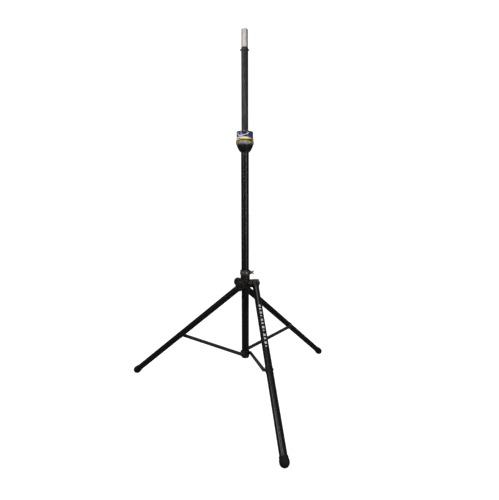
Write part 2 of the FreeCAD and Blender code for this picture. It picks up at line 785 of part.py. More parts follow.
def make_boot(number):
    """The rubber foot: a short lipped cap with a round end, and a sole flat on the floor."""
    body = new_body("rubber_foot_%d" % number)
    top = "boot_ball - boot_length"
    turn(body, [
        ("leg_diameter / 2", top),
        ("leg_diameter / 2 + boot_lip", top),
        ("leg_diameter / 2 + boot_lip", top + " + 7"),
        ("boot_radius", "boot_ball - 10"),
        ("boot_radius", "boot_ball", "boot_radius"),
        ("0", "boot_ball + boot_radius"),
        ("0", TUBE_END),
        ("leg_diameter / 2", TUBE_END)])
    low_side = "(leg_pivot_height + cut_reach * leg_sine) / leg_cosine"
    high_side = "(leg_pivot_height - cut_reach * leg_sine) / leg_cosine"
    extrude(body, lambda sketch: draw_outline(sketch, [
        ("-cut_reach", low_side),
        ("-cut_reach", low_side + " + cut_reach"),
        ("cut_reach", high_side + " + cut_reach"),
        ("cut_reach", high_side)]), "cut_reach", both=True, cut=True)
    return body


def make_bracket(number):
    """The saddle on the leg's inner side, with the boss that the brace's outer end turns against."""
    body = new_body("leg_bracket_%d" % number)
    turn(body, [
        ("-leg_diameter / 2", "brace_station - bracket_length / 2"),
        ("-leg_diameter / 2 - bracket_wall", "brace_station - bracket_length / 2"),
        ("-leg_diameter / 2 - bracket_wall", "brace_station + bracket_length / 2"),
        ("-leg_diameter / 2", "brace_station + bracket_length / 2")], "YZ_Plane", sweep="bracket_angle")
    extrude(body, lambda sketch: draw_circle(sketch, "0", "brace_station", "bracket_boss_diameter / 2"),
            "leg_pivot_offset - bracket_boss_end - leg_diameter / 2 - 0.4", lift="leg_diameter / 2 + 0.4")
    extrude(body, lambda sketch: draw_circle(sketch, "0", "brace_station", "leg_bolt_diameter / 2"),
            "cut_reach", both=True, cut=True)
    return body


def make_leg(number):
    """One leg, drawn in its own frame: knuckle, tube, rubber foot, brace bracket and its bolt."""
    frame = leg_frame(number)
    for maker in (make_knuckle, make_leg_tube, make_boot, make_bracket):
        keep(maker(number), frame)
    bolt_frame = frame * moved(y=-SIZE["leg_pivot_offset"], z=SIZE["brace_station"])
    head_start = "leg_pivot_offset + leg_diameter / 2 + 0.3"
    bolt = rivet("leg_bolt_%d" % number, bolt_frame, "bracket_boss_end",
                 head_start + " - bracket_boss_end", head_start, "leg_bolt_diameter / 2")
    keep(bolt, FreeCAD.Placement())


# ---------------------------------------------------------------- braces

def make_brace(number):
    """A brace: a channel open below with round ends, and the rivet at its outer end."""
    frame = brace_frame(number)
    body = new_body("brace_%d" % number)
    extrude(body, lambda sketch: draw_outline(sketch, [
        ("-brace_height / 2", "0", "brace_height / 2 + 0.05"),
        ("brace_height / 2", "0"),
        ("brace_height / 2", "brace_length", "brace_height / 2 + 0.05"),
        ("-brace_height / 2", "brace_length")]), "brace_width", backwards=True)
    extrude(body, lambda sketch: draw_outline(sketch, [
        ("brace_wall - brace_height / 2", "-brace_height"),
        ("brace_height", "-brace_height"),
        ("brace_height", "brace_length + brace_height"),
        ("brace_wall - brace_height / 2", "brace_length + brace_height")]),
        "brace_width - 2 * brace_wall", lift="-brace_wall", cut=True)
    holes = (("0", "brace_pin_diameter / 2 + side_gap"), ("brace_length", "brace_pin_diameter / 2"))
    for place, radius in holes:
        extrude(body, lambda sketch: draw_circle(sketch, "0", place, radius),
                "cut_reach", both=True, cut=True)
    keep(body, frame)
    facing_in = frame * moved(z=SIZE["brace_length"]) * turned_about(X_AXIS, 180)
    outer = rivet("brace_rivet_%d" % number, facing_in, "-brace_width - 2 * side_gap",
                  "brace_width + 2 * side_gap", "0")
    keep(outer, FreeCAD.Placement())


def check_and_export():
    """Stop if anything failed, then write one STEP file for each sub-part."""
    doc.recompute()
    for item in doc.Objects:
        if "Invalid" in item.State or "Error" in item.State:
            raise RuntimeError("failed: " + item.Label)
    for piece in nodes:
        shape = piece.Shape
        if shape.isNull() or not shape.isValid():
            raise RuntimeError("bad shape: " + piece.Label)
    os.makedirs("parts", exist_ok=True)
    for piece in nodes:
        piece.Shape.exportStep("parts/%s.step" % piece.Label)


make_mast()
make_collar()
make_pole()
make_hub()
for leg_number in LEG_NUMBERS:
    make_leg(leg_number)
    make_brace(leg_number)
check_and_export()
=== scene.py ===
import json
import math

import bmesh
import bpy
from mathutils import Matrix, Vector


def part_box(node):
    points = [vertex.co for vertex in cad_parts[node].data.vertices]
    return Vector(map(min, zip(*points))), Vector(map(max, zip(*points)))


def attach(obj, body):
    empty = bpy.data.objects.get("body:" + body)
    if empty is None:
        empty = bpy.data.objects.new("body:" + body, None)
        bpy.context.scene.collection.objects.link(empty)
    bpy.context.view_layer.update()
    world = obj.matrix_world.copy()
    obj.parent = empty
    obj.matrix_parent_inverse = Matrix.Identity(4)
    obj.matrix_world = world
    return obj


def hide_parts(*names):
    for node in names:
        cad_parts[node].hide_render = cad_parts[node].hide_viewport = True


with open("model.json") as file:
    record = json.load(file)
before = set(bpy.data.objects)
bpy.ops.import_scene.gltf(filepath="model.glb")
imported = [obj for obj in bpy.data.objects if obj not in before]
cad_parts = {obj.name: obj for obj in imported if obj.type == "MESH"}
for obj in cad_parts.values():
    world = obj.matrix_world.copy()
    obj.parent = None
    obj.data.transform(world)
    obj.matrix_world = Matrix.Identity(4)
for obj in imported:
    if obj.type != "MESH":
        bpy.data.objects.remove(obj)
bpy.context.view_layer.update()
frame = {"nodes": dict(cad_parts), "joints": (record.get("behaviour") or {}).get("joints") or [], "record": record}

# A tripod speaker stand. Sizes are in millimetres, as in the CAD, and turned into metres when a
# mesh is made. Each piece is modelled in a frame of its own: the pole's, a spoke's (the pivot axis
# of one leg), a leg's or a brace's.

MM = 0.001
UP = Vector((0, 0, 1))
LEGS = (1, 2, 3)
FINE, MEDIUM, COARSE = 128, 72, 40   # segments of a turned piece
CREASE = 35              # degrees between faces from which an edge is drawn sharp

MAIN_RADIUS, LEG_RADIUS = 22.225, 19.05   # the pole is as thick as a leg
LEG_SPREAD = 50          # degrees from upright
BRACE_STATION = 565      # from a leg's pivot to its bracket
BRACE_LENGTH = 440
BOOT_RADIUS, BOOT_SINK, BOOT_LENGTH = 24, 3, 26
TUBE_GAP = 4             # from a leg tube's end to the centre of its boot's round end
PIN_DIRECTION = -16      # of the cross pin, in degrees from +X
MARKS_SIDE = 178         # the middle of the front leg's marks, in degrees from its underside
VIEW_SIDE = -102.8       # the side of the pole that faces the camera, in degrees from +X
POINTER_REACH = 5        # of the grip ring's pointer, below the ring
CLEAR = 9                # how far a cutter runs past what it cuts
LOCAL_PLACE = "local_place"   # the mesh attribute with each point's place in its piece's own frame


# -------------------------------------------- frames

JOINTS = {joint["name"]: joint for joint in frame["joints"]}
SPIGOT_MOUNT = [mount for mount in frame["record"]["mounts"] if mount["name"] == "spigot"][0]
POLE = Matrix.Translation((SPIGOT_MOUNT["pos_m"][0], SPIGOT_MOUNT["pos_m"][1], 0))


def span(node):
    """The lowest and the highest height of a CAD node, in millimetres."""
    low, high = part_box(node)
    return low.z / MM, high.z / MM


def joint_height(name):
    return JOINTS[name]["pos_m"][2] / MM


def shift(x=0, y=0, z=0):
    return Matrix.Translation((x * MM, y * MM, z * MM))


def spin(degrees, axis="Z"):
    return Matrix.Rotation(math.radians(degrees), 4, axis)


def spoke_basis(number):
    """Turns X to the leg's way out, Y to its pivot axis and Z up."""
    spoke = Vector(JOINTS["leg_%d_fold" % number]["axis"])
    return Matrix((spoke.cross(UP), spoke, UP)).transposed().to_4x4()


def leg_frame(number):
    """Origin on the leg's pivot, Z down the leg, Y along the spoke, X on the leg's underside."""
    pivot = Matrix.Translation(JOINTS["leg_%d_fold" % number]["pos_m"])
    return pivot @ spoke_basis(number) @ spin(180 - LEG_SPREAD, "Y")


def brace_frame(number):
    """Origin on the brace's lower pivot at its inner face, Z along the brace, X downwards."""
    leg_pivot = JOINTS["leg_%d_fold" % number]["pos_m"]
    pivot = JOINTS["brace_%d_fold" % number]["pos_m"]
    spread = math.radians(LEG_SPREAD)
    reach = BRACE_STATION * math.sin(spread)
    rise = (leg_pivot[2] - pivot[2]) / MM - BRACE_STATION * math.cos(spread)
    lean = Matrix.Rotation(math.pi / 2 - math.atan2(rise, reach), 4, "Y")
    return Matrix.Translation(pivot) @ spoke_basis(number) @ lean


TO_SPOKE = spin(-90, "X")   # turns Z on to Y


def on_spoke(number, height):
    """For a piece turned about Z, moved to lie along a spoke at a height, in the pole's frame."""
    return spoke_basis(number) @ shift(z=height) @ TO_SPOKE


# -------------------------------------------- mesh tools

def filleted(corners, steps=4):
    """A closed outline with rounded corners. A corner is (across, up) or (across, up, radius)."""
    points = []
    for index, corner in enumerate(corners):
        here = Vector(corner[:2])
        before = Vector(corners[index - 1][:2]) - here
        after = Vector(corners[(index + 1) % len(corners)][:2]) - here
        if len(corner) == 2:
            points.append(here)
            continue
        half = before.angle(after) / 2
        room = 0.49 * min(before.length, after.length)
        reach = min(corner[2] / math.tan(half), room)
        middle = (before.normalized() + after.normalized()).normalized()
        centre = here + middle * (reach / math.cos(half))
        start = here + before.normalized() * reach - centre
        finish = here + after.normalized() * reach - centre
        first = math.atan2(start.y, start.x)
        sweep = math.atan2(start.x * finish.y - start.y * finish.x, start.dot(finish))
        for step in range(steps + 1):
            angle = first + sweep * step / steps
            points.append(centre + Vector((math.cos(angle), math.sin(angle))) * start.length)
    return points


def arc(start, finish, radius, steps):
    """Points after start up to finish on the short arc, counter-clockwise about its centre."""
    start, finish = Vector(start), Vector(finish)
    chord = finish - start
    side = Vector((-chord.y, chord.x)).normalized()
    centre = start + chord / 2 + side * math.sqrt(radius ** 2 - chord.length_squared / 4)
    first = math.atan2(start.y - centre.y, start.x - centre.x)
    sweep = 2 * math.asin(chord.length / 2 / radius)
    angles = [first + sweep * step / steps for step in range(1, steps + 1)]
    return [(centre.x + radius * math.cos(angle), centre.y + radius * math.sin(angle))
            for angle in angles]


def lathe(outline, segments=MEDIUM, shape=None):
    """A turned solid about Z from a closed outline of (radius, height), some of it possibly on the
    axis. shape(angle, radius, height) may return another radius and height."""
    mesh = bmesh.new()
    rings = []
    for radius, height in outline:
        if radius < 1e-6:
            rings.append([mesh.verts.new((0, 0, height * MM))])
            continue
        ring = []
        for step in range(segments):
            angle = 2 * math.pi * step / segments
            across, up = shape(angle, radius, height) if shape else (radius, height)
            ring.append(mesh.verts.new(
                (across * math.cos(angle) * MM, across * math.sin(angle) * MM, up * MM)))
        rings.append(ring)
    for lower, upper in zip(rings, rings[1:] + rings[:1]):
        if len(lower) == 1 and len(upper) == 1:
            continue
        for step in range(segments):
            after = (step + 1) % segments
            corners = [lower[step % len(lower)], lower[after % len(lower)],
                       upper[after % len(upper)], upper[step % len(upper)]]
            distinct = []
            for corner in corners:
                if corner not in distinct:
                    distinct.append(corner)
            mesh.faces.new(distinct)
    bmesh.ops.recalc_face_normals(mesh, faces=mesh.faces)
    return mesh


def rod(radius, low, high, segments=COARSE):
    """A plain cylinder about Z, to cut a hole with."""
    return lathe([(0, low), (radius, low), (radius, high), (0, high)], segments)


def on_each_spoke(height, outline, segments=COARSE, shape=None):
    """A turned mesh for every leg, laid along its spoke at a height."""
    return [moved(lathe(outline, segments, shape), on_spoke(number, height)) for number in LEGS]


def slab(outline, thickness, place=Matrix()):
    """A plate from a closed outline in X and Y, as thick as said, centred on Z = 0."""
    mesh = bmesh.new()
    half = thickness / 2 * MM
    lower = [mesh.verts.new((across * MM, up * MM, -half)) for across, up in outline]
    upper = [mesh.verts.new((across * MM, up * MM, half)) for across, up in outline]
    mesh.faces.new(lower)
    mesh.faces.new(upper)
    for step in range(len(outline)):
        after = (step + 1) % len(outline)
        mesh.faces.new((lower[step], lower[after], upper[after], upper[step]))
    moved(mesh, place)
    bmesh.ops.recalc_face_normals(mesh, faces=mesh.faces)
    return mesh


def moved(mesh, place):
    bmesh.ops.transform(mesh, matrix=place, verts=mesh.verts)
    return mesh


def gathered(meshes):
    """Several meshes as one, as separate shells."""
    whole = bmesh.new()
    for mesh in meshes:
        data = bpy.data.meshes.new("part")
        mesh.to_mesh(data)
        mesh.free()
        whole.from_mesh(data)
        bpy.data.meshes.remove(data)
    return whole


def linked(name, data):
    """A new object for some data, put in the scene."""
    item = bpy.data.objects.new(name, data)
    bpy.context.scene.collection.objects.link(item)
    return item


def as_object(mesh, name):
    data = bpy.data.meshes.new(name)
    mesh.to_mesh(data)
    mesh.free()
    return linked(name, data)


def mesh_of(item):
    """The mesh of an object that is no longer wanted itself."""
    data = item.data
    bpy.data.objects.remove(item)
    return data


def settle(item):
    """Put the result of an object's modifiers into its mesh."""
    graph = bpy.context.evaluated_depsgraph_get()
    data = bpy.data.meshes.new_from_object(item.evaluated_get(graph))
    before = item.data
    item.modifiers.clear()
    item.data = data
    data.name = item.name
    bpy.data.meshes.remove(before)


def bevel(item, width, degrees=None):
    """Narrow bevels on edges sharper than the given angle, or than the modifier's own."""
    edge = item.modifiers.new("edge", "BEVEL")
    edge.width = width * MM
    edge.segments = 2
    edge.limit_method = "ANGLE"
    if degrees:
        edge.angle_limit = math.radians(degrees)
    settle(item)


def cut_away(item, cutters, operation="DIFFERENCE", solver="EXACT"):
    """Cut or intersect an object with meshes."""
    tools = []
    for index, cutter in enumerate(cutters):
        tool = as_object(cutter, "%s_tool_%d" % (item.name, index))
        step = item.modifiers.new("cut", "BOOLEAN")
        step.operation = operation
        step.solver = solver
        step.object = tool
        tools.append(tool)
    settle(item)
    for tool in tools:
        bpy.data.meshes.remove(mesh_of(tool))


def moulded(name, solids, cuts=(), grain=0.8, smoothing=6):
    """One moulded or cast solid: overlapping shells, cut, then melted together."""
    item = as_object(gathered(solids), name)
    if cuts:
        cut_away(item, cuts, solver="MANIFOLD")
    melt(item, grain, smoothing)
    return item


def melt(item, grain, smoothing):
    remesh = item.modifiers.new("melt", "REMESH")
    remesh.mode = "VOXEL"
    remesh.voxel_size = grain * MM
    soften = item.modifiers.new("soften", "SMOOTH")
    soften.factor = 0.5
    soften.iterations = smoothing
    settle(item)


def remember_place(data):
    """Keep each point's place in the piece's own frame, where materials take their pattern."""
    places = [0.0] * (3 * len(data.vertices))
    data.vertices.foreach_get("co", places)
    data.attributes.new(LOCAL_PLACE, "FLOAT_VECTOR", "POINT").data.foreach_set("vector", places)


def piece(item, body, slot_name, place, stands_for=(), material=None):
    """Finish a piece: shade it, place it, let it ride on its body and hide the CAD nodes it stands for.
    The item is an object or a (mesh, name). Its material has the slot's name unless given."""
    if isinstance(item, tuple):
        item = as_object(*item)
    remember_place(item.data)
    item.data.transform(place)
    item.data.shade_smooth()
    item.data.set_sharp_from_angle(angle=math.radians(CREASE))
    weigh = item.modifiers.new("normals", "WEIGHTED_NORMAL")
    weigh.keep_sharp = True
    settle(item)
    item.data.materials.clear()
    item.data.materials.append(MATERIALS[material or slot_name])
    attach(item, body)
    if stands_for:
        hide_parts(*stands_for)


# -------------------------------------------- materials

def node(tree, kind, links=(), **values):
    """A shader node. Values with a capital letter are inputs, the others are settings."""
    made = tree.nodes.new(kind)
    for name, value in values.items():
        if name[0].isupper():
            made.inputs[name.replace("_", " ")].default_value = value
        else:
            setattr(made, name, value)
    for name, source in links:
        tree.links.new(source, made.inputs[name])
    return made


def coordinates(tree, stretch):
    place = node(tree, "ShaderNodeAttribute", attribute_name=LOCAL_PLACE)
    scale = node(tree, "ShaderNodeMapping", [("Vector", place.outputs["Vector"])])
    scale.inputs["Scale"].default_value = stretch
    return scale.outputs["Vector"]


def noise(tree, scale, detail=4, roughness=0.55, stretch=(1, 1, 1)):
    made = node(tree, "ShaderNodeTexNoise", [("Vector", coordinates(tree, stretch))],
                Scale=scale, Detail=detail, Roughness=roughness)
    return made.outputs["Fac"]


def mapped(tree, value, low, high, to_low, to_high):
    made = node(tree, "ShaderNodeMapRange", [("Value", value)])
    ends = (("From Min", low), ("From Max", high), ("To Min", to_low), ("To Max", to_high))
    for name, number in ends:
        made.inputs[name].default_value = number
    return made.outputs["Result"]


def blended(tree, amount, first, second):
    """A colour between two colours, each a tuple or a socket."""
    made = node(tree, "ShaderNodeMix", data_type="RGBA")
    tree.links.new(amount, made.inputs["Factor"])
    for socket, colour in ((made.inputs[6], first), (made.inputs[7], second)):
        if isinstance(colour, tuple):
            socket.default_value = colour + (1,)
        else:
            tree.links.new(colour, socket)
    return made.outputs[2]


def bumped(tree, shader, heights):
    """Chain bump nodes, one for each (height, strength, distance in millimetres)."""
    normal = None
    for height, strength, distance in heights:
        links = [("Height", height)] + ([("Normal", normal)] if normal else [])
        made = node(tree, "ShaderNodeBump", links, Strength=strength, Distance=distance * MM)
        normal = made.outputs["Normal"]
    tree.links.new(normal, shader.inputs["Normal"])


def shader_of(material):
    return material.node_tree.nodes["Principled BSDF"]


def new_material(name, roughness, metallic=0.0, specular=0.5, coat=0.0, coat_roughness=0.1):
    made = bpy.data.materials.new(name)
    made.use_nodes = True
    shader = shader_of(made)
    shader.inputs["Roughness"].default_value = roughness
    shader.inputs["Metallic"].default_value = metallic
    shader.inputs["Specular IOR Level"].default_value = specular
    shader.inputs["Coat Weight"].default_value = coat
    shader.inputs["Coat Roughness"].default_value = coat_roughness
    return made, made.node_tree


def dress(made, colour, rough, heights):
    """Give a new material its colour, roughness and bumps, and hand it back."""
    tree, shader = made.node_tree, shader_of(made)
    tree.links.new(colour, shader.inputs["Base Color"])
    tree.links.new(rough, shader.inputs["Roughness"])
    bumped(tree, shader, heights)
    return made


def painted_tube(name, colour, worn, roughness, scuffs):
    """Satin powder coat on a tube: orange peel, dust in patches and fine scuffs along the tube."""
    made, tree = new_material(name, roughness, specular=0.35)
    patches = noise(tree, 9, 5)
    streaks = noise(tree, 60, 6, 0.65, (1, 1, 0.03))
    scratches = mapped(tree, noise(tree, 420, 3, 0.6, (1, 1, 0.012)), 0.66, 0.72, 0, scuffs)
    dusty = tuple(1.35 * c for c in colour)
    base = blended(tree, mapped(tree, patches, 0.35, 0.7, 0, 1), colour, dusty)
    rough = mapped(tree, streaks, 0.3, 0.7, roughness - 0.06, roughness + 0.08)
    return dress(made, blended(tree, scratches, base, worn), rough,
                 [(noise(tree, 900, 2), 0.12, 0.05), (streaks, 0.05, 0.1)])


def turned_metal(name, colour, shade, roughness):
    """Bare metal with the fine rings of the lathe, handling marks and slight tarnish."""
    made, tree = new_material(name, roughness, metallic=0.9)
    rings = noise(tree, 700, 4, 0.7, (0.02, 0.02, 1))
    tarnish = noise(tree, 22, 5, 0.6, (1, 1, 0.35))
    nicks = mapped(tree, noise(tree, 260, 3, 0.6, (1, 1, 0.06)), 0.68, 0.74, 0, 0.6)
    base = blended(tree, mapped(tree, tarnish, 0.35, 0.7, 0, 1), colour, shade)
    scratched = blended(tree, nicks, base, tuple(0.6 * c for c in shade))
    rough = mapped(tree, tarnish, 0.3, 0.7, roughness - 0.06, roughness + 0.1)
    return dress(made, scratched, rough, [(rings, 0.18, 0.04), (nicks, 0.15, 0.05)])


def cast_metal(name, colour, shade, roughness):
    """Cast or plated metal: mottled, with small pits."""
    made, tree = new_material(name, roughness, metallic=0.85)
    cloud = noise(tree, 70, 6, 0.6)
    pits = noise(tree, 300, 3, 0.5)
    base = blended(tree, mapped(tree, cloud, 0.35, 0.68, 0, 1), colour, shade)
    rough = mapped(tree, cloud, 0.3, 0.7, roughness - 0.08, roughness + 0.12)
    return dress(made, base, rough, [(pits, 0.2, 0.08), (cloud, 0.1, 0.15)])


def moulded_plastic(name, colour, shade, roughness, grain=1400, depth=0.06):
    """Moulded plastic: a fine spark-eroded grain with slow flow marks."""
    made, tree = new_material(name, roughness, specular=0.4)
    flow = noise(tree, 28, 4, 0.5)
    skin = noise(tree, grain, 2, 0.5)
    base = blended(tree, mapped(tree, flow, 0.35, 0.68, 0, 1), colour, shade)
    rough = mapped(tree, flow, 0.3, 0.7, roughness - 0.04, roughness + 0.07)
    return dress(made, base, rough, [(skin, 0.15, depth), (flow, 0.04, 0.2)])


def tread_rubber(name, colour, dust):
    """Dull rubber, with dust rubbed into it in patches."""
    made, tree = new_material(name, 0.72, specular=0.25)
    cloud = noise(tree, 45, 6, 0.65)
    grain = noise(tree, 1000, 3, 0.6)
    base = blended(tree, mapped(tree, cloud, 0.48, 0.75, 0, 0.5), colour, dust)
    rough = mapped(tree, cloud, 0.3, 0.7, 0.62, 0.82)
    return dress(made, base, rough, [(grain, 0.3, 0.08), (cloud, 0.1, 0.3)])


def glossy_cap(name):
    """Deep blue glossy plastic with hairline handling marks, and slow lighter clouds that are painted highlights.
    """
    made, tree = new_material(name, 0.2, coat=0.6, coat_roughness=0.06)
    cloud = noise(tree, 30, 3, 0.5, (1, 1, 0.7))
    hair = mapped(tree, noise(tree, 500, 3, 0.6, (0.05, 0.05, 1)), 0.62, 0.72, 0, 1)
    # the lighter blue of the clouds is painted highlight, standing in for the cap's reflections
    deep, light = (0.003, 0.006, 0.035), (0.035, 0.055, 0.19)
    base = blended(tree, mapped(tree, cloud, 0.42, 0.68, 0, 1), deep, light)
    rough = mapped(tree, hair, 0, 1, 0.18, 0.3)
    return dress(made, base, rough, [(cloud, 0.06, 0.4), (hair, 0.05, 0.03)])


MATERIALS = {
    "black_tube": painted_tube(
        "satin_black_paint", (0.0055, 0.0046, 0.0043), (0.03, 0.027, 0.024), 0.24, 0.3),
    "pole_paint": painted_tube(
        "scuffed_pole_paint", (0.014, 0.0105, 0.009), (0.07, 0.06, 0.052), 0.32, 0.6),
    "bare_aluminium": turned_metal("bare_aluminium", (0.66, 0.62, 0.58), (0.58, 0.54, 0.49), 0.5),
    "black_plastic": moulded_plastic(
        "black_plastic", (0.005, 0.0042, 0.0038), (0.010, 0.0085, 0.0075), 0.36),
    "dark_steel": cast_metal("dark_steel", (0.02, 0.0185, 0.0175), (0.045, 0.04, 0.036), 0.42),
    "clamp_metal": cast_metal("clamp_metal", (0.10, 0.088, 0.078), (0.17, 0.148, 0.128), 0.36),
    "zinc_steel": cast_metal("zinc_steel", (0.35, 0.34, 0.32), (0.50, 0.48, 0.43), 0.35),
    "nylon": moulded_plastic("nylon", (0.62, 0.61, 0.58), (0.72, 0.71, 0.68), 0.45, grain=900),
    "rubber": tread_rubber("rubber", (0.004, 0.0037, 0.0036), (0.015, 0.0135, 0.0125)),
    "grey_plastic": moulded_plastic(
        "grey_plastic", (0.18, 0.175, 0.155), (0.25, 0.245, 0.22), 0.5, depth=0.12),
    "yellow_plastic": moulded_plastic(
        "yellow_plastic", (0.88, 0.66, 0.12), (0.94, 0.76, 0.2), 0.45),
    # dark brown: painted shade on the yellow band's foot, and real print on the band's small spot
    "brown_print_and_painted_shade": moulded_plastic(
        "brown_print_and_painted_shade", (0.05, 0.028, 0.004), (0.09, 0.05, 0.008), 0.4, grain=2000),
    "blue_plastic": glossy_cap("blue_plastic"),
    "white_print": moulded_plastic(
        "white_print", (0.62, 0.61, 0.60), (0.76, 0.75, 0.74), 0.5, grain=2000),
    "lavender_print": moulded_plastic(
        "lavender_print", (0.66, 0.64, 0.84), (0.80, 0.78, 0.92), 0.4, grain=2000),
    "brace_paint": painted_tube(
        "brace_paint", (0.028, 0.0235, 0.020), (0.09, 0.08, 0.068), 0.42, 0.7),
}


# -------------------------------------------- mast

def turned(name, body, slot_name, outline, stands_for, segments=MEDIUM, shape=None, material=None,
           place=POLE):
    """A turned piece, on the pole's axis unless another place is given."""
    piece((lathe(outline, segments, shape), name), body, slot_name, place, stands_for, material)


def make_main_tube():
    bottom, top = span("main_tube")
    turned("main_tube_skin", "mast", "black_tube", filleted([
        (20.5, bottom, 0.4), (MAIN_RADIUS, bottom, 0.7), (MAIN_RADIUS, top, 0.7),
        (20.5, top, 0.4)]), ["main_tube"])
    foot = span("tube_end_plug")[0]
    turned("tube_end_plug_cap", "mast", "black_plastic", filleted([
        (0, foot + 1.2), (9, foot + 1.2, 1), (10.5, foot, 1), (22.1, foot, 2.2),
        (22.1, bottom, 0.2), (20.5, bottom), (20.5, bottom + 18, 1), (17.5, bottom + 18, 1),
        (17.5, bottom, 0.5), (0, bottom)]), ["tube_end_plug"])


def make_lower_hub():
    """The sleeve at the tube's foot, with a flat boss for each brace, and the braces' pins."""
    low, high = span("lower_hub")
    pivot = joint_height("brace_1_fold")
    sleeve = lathe(filleted([
        (0, low), (25.2, low, 2.2), (25.2, low + 7, 0.5), (24.5, low + 8, 0.5),
        (24.5, high - 8, 0.5), (25.2, high - 7, 0.5), (25.2, high, 3), (0, high)]), FINE)
    bosses = on_each_spoke(pivot, filleted([
        (0, 5), (11.5, 5), (10.2, 24, 2), (10, 27, 0.8), (0, 27)]))
    bore = rod(22.3, low - CLEAR, high + CLEAR, FINE)
    hub = moulded("lower_hub_casting", [sleeve] + bosses, [bore], grain=0.7, smoothing=3)
    piece(hub, "mast", "black_plastic", POLE, ["lower_hub"])
    pins = on_each_spoke(pivot, filleted([
        (0, 23.5), (3.4, 23.5), (4, 24.2), (4, 37.6), (7, 37.6, 0.5), (6.9, 38.8, 0.8),
        (4.6, 40.3, 1.6), (0, 40.4)]))
    piece((gathered(pins), "brace_pins_turned"), "mast", "dark_steel", POLE, ["brace_pins"])


def make_bell():
    """The black bell under the collar, and the nose inside the cap that it turns on."""
    low, top = span("collar_base")
    rim = span("grip_ring")[0] + POINTER_REACH - 0.5
    bulge = arc((27, low), (45.75, rim - 3), 95, 24)
    outline = [(22.3, low + 0.3), (22.9, low), (26.2, low), (27.0, low + 0.7)]
    outline += [(across, up) for across, up in bulge if up > low + 1.2]
    outline += [(45.75, rim - 1.2), (45.4, rim - 0.4), (44.75, rim), (38, rim), (38, top - 1.5),
                (36.5, top), (25.725, top), (25.725, top - 7), (22.3, top - 7)]
    turned("collar_bell", "mast", "black_plastic", outline, ["collar_base"], FINE)


# -------------------------------------------- twist collar

def make_grip_ring():
    """The grey ring with shallow flutes for the hand, and its small pointer."""
    low, top = span("grip_ring")
    low += POINTER_REACH
    flutes, depth = 42, 0.55
    outer_wall, flute_foot, fade = 49, 6, 3   # flutes start on the wall and fade in above its foot

    def fluted(angle, radius, height):
        share = smooth_step((height - low - flute_foot) / fade) if radius > outer_wall else 0
        wave = max(0.0, math.cos(flutes * angle)) ** 3
        return radius - depth * share * wave, height

    ring = lathe(filleted([
        (38.4, low), (46.4, low, 0.6), (50.2, low + 4.6, 2.2), (50.4, low + 6), (50.55, low + 7.5),
        (50.7, low + 9), (50.5, top - 3.5, 1.2), (49.25, top, 0.5), (38.4, top)]),
        flutes * 10, fluted)
    piece((ring, "grip_ring_fluted"), "collar", "grey_plastic", POLE, ["grip_ring"])
    pointer = slab(filleted([(-6.6, 4.5, 1), (0, -4.9, 0.8), (6.6, 4.5, 1)], 3), 4,
                   spin(90, "X"))
    place = POLE @ shift(y=-48.7, z=low)
    piece((pointer, "grip_ring_pointer"), "collar", "grey_plastic", place)


def smooth_step(share):
    share = max(0.0, min(1.0, share))
    return share * share * (3 - 2 * share)


def make_accent_band():
    """The yellow band: a long tail that narrows to a tip, twice round, over a dark brown foot of painted shade."""
    low, high = span("accent_band")
    tip, turns = math.radians(VIEW_SIDE + 62), 2   # where a tail ends, and how many tails
    full = high - low - 0.4
    dip = 7.5                          # of the upper edge, at the tip
    foot, swell, lift = 1.2, 6.6, 2.6  # of the lower edge: where it starts and its two steps up

    def edges(angle):
        """The band's lower and upper edge above its foot, shaped by the share of a tail passed."""
        share = ((angle - tip) * turns / (2 * math.pi)) % 1
        upper = full - dip * (1 - min(smooth_step(share / 0.12), smooth_step((1 - share) / 0.3)))
        lower = (foot + swell * smooth_step((share - 0.28) / 0.25)
                 + lift * smooth_step((share - 0.75) / 0.25))
        return lower * smooth_step((1.02 - share) / 0.04) if share > 0.98 else lower, upper

    def waved(angle, radius, share):
        lower, upper = edges(angle)
        return radius, low + lower + share * (upper - lower)

    # each height here is a share of the way from the lower to the upper edge
    outline = [(46.2, 0), (47.3, 0), (48.6, 0.05), (49.6, 0.13), (49.9, 0.22), (49.8, 0.32),
               (49.2, 0.5), (48.3, 0.72), (47.6, 0.88), (47.1, 0.96), (46.7, 1.0), (46.2, 1.0)]
    turned("accent_band_waved", "collar", "yellow_plastic", outline, ["accent_band"],
           2 * FINE, waved)
    # the dark brown foot is painted shade, showing below the band where its lower edge rises
    turned("accent_band_foot", "collar", "yellow_plastic", filleted([
        (46.2, low), (48.2, low), (48.2, low + 1, 0.5), (47.2, high - 3, 0.5), (46.2, high - 3)]),
        [], FINE, material="brown_print_and_painted_shade")

    def oval(share):
        rise = 2.8 * math.sqrt(1.02 - share ** 2)
        return -rise, rise

    place = POLE @ shift(z=(low + high) / 2 + 1.5) @ spin(VIEW_SIDE - 36)
    piece((wrapped(48.9, 50.1, 8, oval), "accent_band_spot"), "collar", "black_plastic", place,
          material="brown_print_and_painted_shade")


def make_twist_cap():
    """The glossy blue cap, dished on top round the pole, with a plain turn arrow on it."""
    low, top = span("twist_cap")
    nose = span("collar_base")[1]
    outline = filleted([
        (38.4, low), (46.5, low), (46.5, low + 16), (46.2, top - 0.1, 5.5), (37, top, 6),
        (33, top - 0.2, 2), (31.5, top - 1.4, 1), (24.5, top - 1.4, 1), (23.05, top - 0.2, 0.6),
        (19.75, top - 1.7, 0.5), (19.75, top - 4), (22.05, top - 4), (22.05, top - 8),
        (19.75, top - 8), (19.75, top - 11.4), (21.6, top - 11.4), (24.6, top - 22.4),
        (24.6, nose + 1), (38.4, nose + 1)], 5)
    turned("twist_cap_glossy", "collar", "blue_plastic", outline, ["twist_cap"], FINE)
    make_turn_arrow(top, 46.5)


